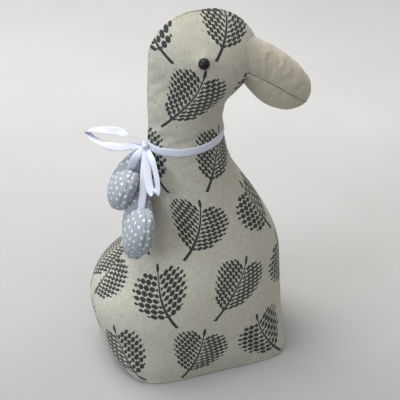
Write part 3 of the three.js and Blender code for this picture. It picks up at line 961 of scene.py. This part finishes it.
def weave(shader, u, v, pitch):
    """A plain weave's height, of threads over and under each other and slubs along them, and its tone."""
    turn = 2 * np.pi / pitch
    wander = shader.flat_noise(u, v, 0.08) * (pitch * 3)
    warp = shader.maths("SINE", (u + wander) * turn)
    weft = shader.maths("SINE", (v + wander) * turn)
    slub_up = shader.flat_noise(u * 1.6, v * 0.12, 1.0)
    slub_across = shader.flat_noise(u * 0.12, v * 1.6, 1.0, 9.0)
    return warp * weft * 0.25 + (slub_up + slub_across), slub_up * 0.5 + slub_across * 0.5


def linen_colour(shader, u, v, base, dark, pale):
    """Oatmeal linen: thread streaks both ways, and scattered darker flecks."""
    height, tone = weave(shader, u, v, 0.9)
    colour = shader.mix(shader.span(tone, 0.36, 0.64), linear(dark), linear(pale))
    colour = shader.mix(shader.flat_noise(u, v, 0.03) * 0.5, colour, linear(base))
    fleck = shader.step(shader.flat_noise(u * 0.9, v * 0.35, 1.1, 4.0) - 0.68, 0.05)
    return shader.mix(fleck * 0.5, colour, linear("8a7a5e")), height


def sprig(shader, x, y, pitch, slope, reach, middle, width, oval):
    """1 on a stem with pairs of twigs that point up and out, each with a row of oval leaflets.

    Twigs leave the stem every pitch and rise by slope. They reach furthest at the middle's height. The
    leaflets are oval long and width wide.
    """
    out = abs(x - y * y * 0.0045)
    row = y - out * slope
    index = shader.maths("FLOOR", row * (1 / pitch))
    root = (index + 0.5) * pitch
    spread = (root - middle) * (2 / (SPRIG_HIGH - SPRIG_LOW))
    length = shader.larger(1.0 - spread * spread, 0.0) ** 0.5 * reach
    share = out / shader.larger(length, 0.5)
    beside = abs(row - root) * float(np.cos(np.arctan(slope)))

    # The leaflets swell towards the middle of each twig, and stand in step along it
    swell = shader.larger(share * (1.0 - share) * 4.0, 0.0)
    along = shader.maths("FRACT", (out + index * (oval * 0.37)) * (1 / oval) + 100.0) - 0.5
    taper = shader.larger(1.0 - (abs(along) * 2.2) ** 2.0, 0.0)
    half = swell**0.4 * (width / 2) * taper**0.5
    leaf = shader.step(half - beside - 0.12, 0.3)
    twig = shader.step(0.42 - beside, 0.25) * shader.step(0.9 - share, 0.1)
    inside = shader.step(root - SPRIG_LOW, 0.1) * shader.step(SPRIG_HIGH - root, 0.1)
    leaf = shader.larger(leaf, twig) * inside * shader.step(out - 1.3, 0.2)

    stem = shader.step(1.0 - y * 0.016 - out, 0.3)
    stem = stem * (shader.step(y - (SPRIG_LOW - 11), 0.5) * shader.step(SPRIG_HIGH - y, 0.5))
    bud = 1.0 - ((out * 0.62) ** 2.0 + ((y - (SPRIG_HIGH + 2.6)) * 0.24) ** 2.0)
    return shader.larger(shader.larger(leaf, stem), shader.step(bud, 0.25))


def print_mask(shader, u, v):
    """1 on the leaf sprigs, which stand in offset rows and lean to one side and the other in turn."""
    row = shader.maths("FLOOR", v * (1 / PRINT_ROW))
    moved = u + shader.maths("MODULO", row + 100.0, 2.0) * (PRINT_CELL / 2) + 20.0
    column = shader.maths("FLOOR", moved * (1 / PRINT_CELL))
    x = moved - (column + 0.5) * PRINT_CELL
    y = v - (row + 0.5) * PRINT_ROW
    parity = shader.maths("MODULO", column + 100.0, 2.0)
    sign = 1.0 - parity * 2.0
    cosine, sine = float(np.cos(np.radians(PRINT_LEAN))), float(np.sin(np.radians(PRINT_LEAN)))
    turned_x = (x * cosine + sign * y * sine) * sign
    turned_y = y * cosine - sign * x * sine
    fine = sprig(shader, turned_x, turned_y, pitch=4.4, slope=0.6, reach=29, middle=-1, width=4.1, oval=4.6)
    broad = sprig(shader, turned_x, turned_y, pitch=5.4, slope=0.42, reach=28, middle=0, width=5.2, oval=6)
    return fine * (1.0 - parity) + broad * parity


def printed_linen():
    shader = Shader("printed_linen_cloth")
    u, v = shader.flat()
    colour, height = linen_colour(shader, u, v, "c3c1b6", "a8a597", "d2d0c6")
    worn = shader.flat_noise(u, v, 1.6)
    ink = shader.mix(worn, linear("20282a"), linear("3a4344"))
    colour = shader.mix(print_mask(shader, u, v) * (1.06 - worn * 0.16), colour, ink)
    return shader.finish(colour, 0.92, shader.bump(height, 0.35, 0.0004), sheen=0.12)


def plain_linen():
    """The beak's linen, with the dark thread of the mouth seam."""
    shader = Shader("plain_linen_cloth")
    u, v = shader.flat()
    colour, height = linen_colour(shader, u, v, "c9c4b6", "b0aa9b", "d4d0c2")
    half_round = BEAK_FLAT_RADIUS * np.pi
    away = v - shader.maths("ROUND", v * (1 / half_round)) * half_round
    thread = shader.step(0.45 - abs(away), 0.4)
    colour = shader.mix(thread * 0.75, colour, linear("5c5546"))
    return shader.finish(colour, 0.92, shader.bump(height, 0.35, 0.0004), sheen=0.12)


def dotted_cotton():
    shader = Shader("dotted_cotton_cloth")
    u, v = shader.flat()

    def from_dots(value):
        scaled = value * (1 / DOT_PITCH)
        return (scaled - shader.maths("ROUND", scaled)) * DOT_PITCH

    x, y = from_dots(u), from_dots(v)
    dot = shader.step(DOT_RADIUS - shader.maths("SQRT", x * x + y * y), 0.35)
    height, tone = weave(shader, u, v, 0.5)
    ground = shader.mix(tone, linear("8e96a1"), linear("aab2bc"))
    colour = shader.mix(dot, ground, linear("e6e9ea"))
    return shader.finish(colour, 0.9, shader.bump(height, 0.25, 0.0003), sheen=0.1)


def satin():
    shader = Shader("satin_weave")
    u, v = shader.flat()
    ribs = shader.maths("SINE", v * (2 * np.pi / 0.45))
    streak = shader.flat_noise(u * 2.2, v * 0.05, 1.0)
    edge = shader.step(abs(u) - (RIBBON_WIDTH / 2 - 0.5), 0.2)
    colour = shader.mix(streak, linear("cdd2e5"), linear("dee3f3"))
    normal = shader.bump(ribs * 0.25 + (streak + edge), 0.2, 0.0003)
    return shader.finish(colour, 0.34, normal, sheen=0.25, specular=0.6, anisotropic=0.4)


def bead():
    shader = Shader("bead_black")
    grain = shader.noise(shader.place(), 900.0, 3.0)
    colour = shader.mix(grain, linear("0a0a0c"), linear("141417"))
    return shader.finish(colour, grain * 0.08 + 0.06)


def dress(piece, material, node):
    piece.data.materials.append(material)
    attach(piece, "root")
    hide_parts(node)


def floor():
    """A pale floor with faint soft folds, and painted shade that darkens it towards the front and the left,
    and in the hollows of the folds.
    """
    count = 121
    line = np.linspace(-FLOOR_SIZE / 2, FLOOR_SIZE / 2, count)
    xs, ys = np.meshgrid(line, line)
    points = np.stack((xs, ys, np.full_like(xs, -0.05)), axis=2).reshape(-1, 3)
    piece = new_mesh("floor", points, grid_faces(count, count))
    shader = Shader("floor_cloth")
    place = shader.place()
    fold = shader.noise(place, 5.0, 3.0)
    # Painted shade: the colour darkens from the back of the floor towards its front and its left
    depth = shader.part(place, 1) * 0.9 + shader.part(place, 0) * 0.45
    # Painted shade in the folds: both colour ranges darken where the folds' bump is low
    far = shader.mix(fold, linear("cdcdcf"), linear("d9d9db"))
    near = shader.mix(fold, linear("9c9c9e"), linear("a8a8aa"))
    colour = shader.mix(shader.span(depth, -0.3, 0.5), near, far)
    piece.data.materials.append(shader.finish(colour, 0.95, shader.bump(fold, 0.25, 0.02)))


def lamp(name, at, target, size, power, colour):
    data = bpy.data.lights.new(name, "AREA")
    data.shape = "DISK"
    data.size = size
    data.energy = power
    data.color = colour
    light = bpy.data.objects.new(name, data)
    light.location = at
    light.rotation_euler = (Vector(target) - Vector(at)).to_track_quat("-Z", "Y").to_euler()
    bpy.context.scene.collection.objects.link(light)


def lights():
    middle = (0, 0, 0.15)
    lamp("key", (-0.45, 0.62, 1.85), middle, 1.2, 25, (1.0, 0.985, 0.93))
    lamp("window", (-1.6, -0.5, 1.0), middle, 1.2, 13, (0.86, 0.93, 1.0))
    lamp("top", (0, -0.3, 2.0), middle, 1.8, 14, (1.0, 0.985, 0.93))
    room = Shader("pale_room", "worlds")
    light = room.node("ShaderNodeBackground", {0: (1.0, 0.98, 0.95, 1), 1: 0.3})
    white = room.node("ShaderNodeBackground", {0: linear("e0e0de"), 1: 1.0})
    seen = room.node("ShaderNodeLightPath", {}, "Is Camera Ray")
    for kind in ("Is Glossy Ray", "Is Transmission Ray"):
        seen = room.larger(seen, room.node("ShaderNodeLightPath", {}, kind))
    mix = room.node("ShaderNodeMixShader", {0: seen, 1: light, 2: white})
    room.feed(room.tree.nodes["World Output"].inputs[0], mix)
    bpy.context.scene.world = room.owner


def camera():
    azimuth, elevation = np.radians(CAMERA_AZIMUTH), np.radians(CAMERA_ELEVATION)
    level = np.cos(elevation)
    away = Vector((np.sin(azimuth) * level, -np.cos(azimuth) * level, np.sin(elevation)))
    data = bpy.data.cameras.new("camera")
    data.lens = CAMERA_LENS
    data.sensor_width = 36
    data.shift_x, data.shift_y = CAMERA_SHIFT
    data.clip_start = 0.01
    view = bpy.data.objects.new("camera", data)
    view.location = CAMERA_TARGET + away * CAMERA_DISTANCE
    view.rotation_euler = (-away).to_track_quat("-Z", "Y").to_euler()
    bpy.context.scene.collection.objects.link(view)
    bpy.context.scene.camera = view


def corners(box):
    return [[float(v) for v in corner] for corner in box]


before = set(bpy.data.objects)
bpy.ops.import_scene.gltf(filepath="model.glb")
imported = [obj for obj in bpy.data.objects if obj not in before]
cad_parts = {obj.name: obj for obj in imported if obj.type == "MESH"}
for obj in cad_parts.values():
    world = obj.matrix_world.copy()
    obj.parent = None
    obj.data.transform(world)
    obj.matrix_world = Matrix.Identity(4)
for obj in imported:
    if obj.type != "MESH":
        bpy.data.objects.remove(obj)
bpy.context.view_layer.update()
bpy.context.scene.view_settings.view_transform = "Standard"
camera()
lights()
floor()

linen = printed_linen()
beak_linen = plain_linen()
cotton = dotted_cotton()

skin = body_mesh()
dress(skin, linen, "body")
bill = beak_mesh()
dress(bill, beak_linen, "beak")
ribbon = ribbon_mesh()
dress(ribbon, satin(), "ribbon")
for heart in HEARTS:
    stuffed = heart_mesh(heart)
    dress(stuffed, cotton, heart)
bead_material = bead()
for side in ("right", "left"):
    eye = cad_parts["eye_" + side]
    eye.data.materials.clear()
    eye.data.materials.append(bead_material)
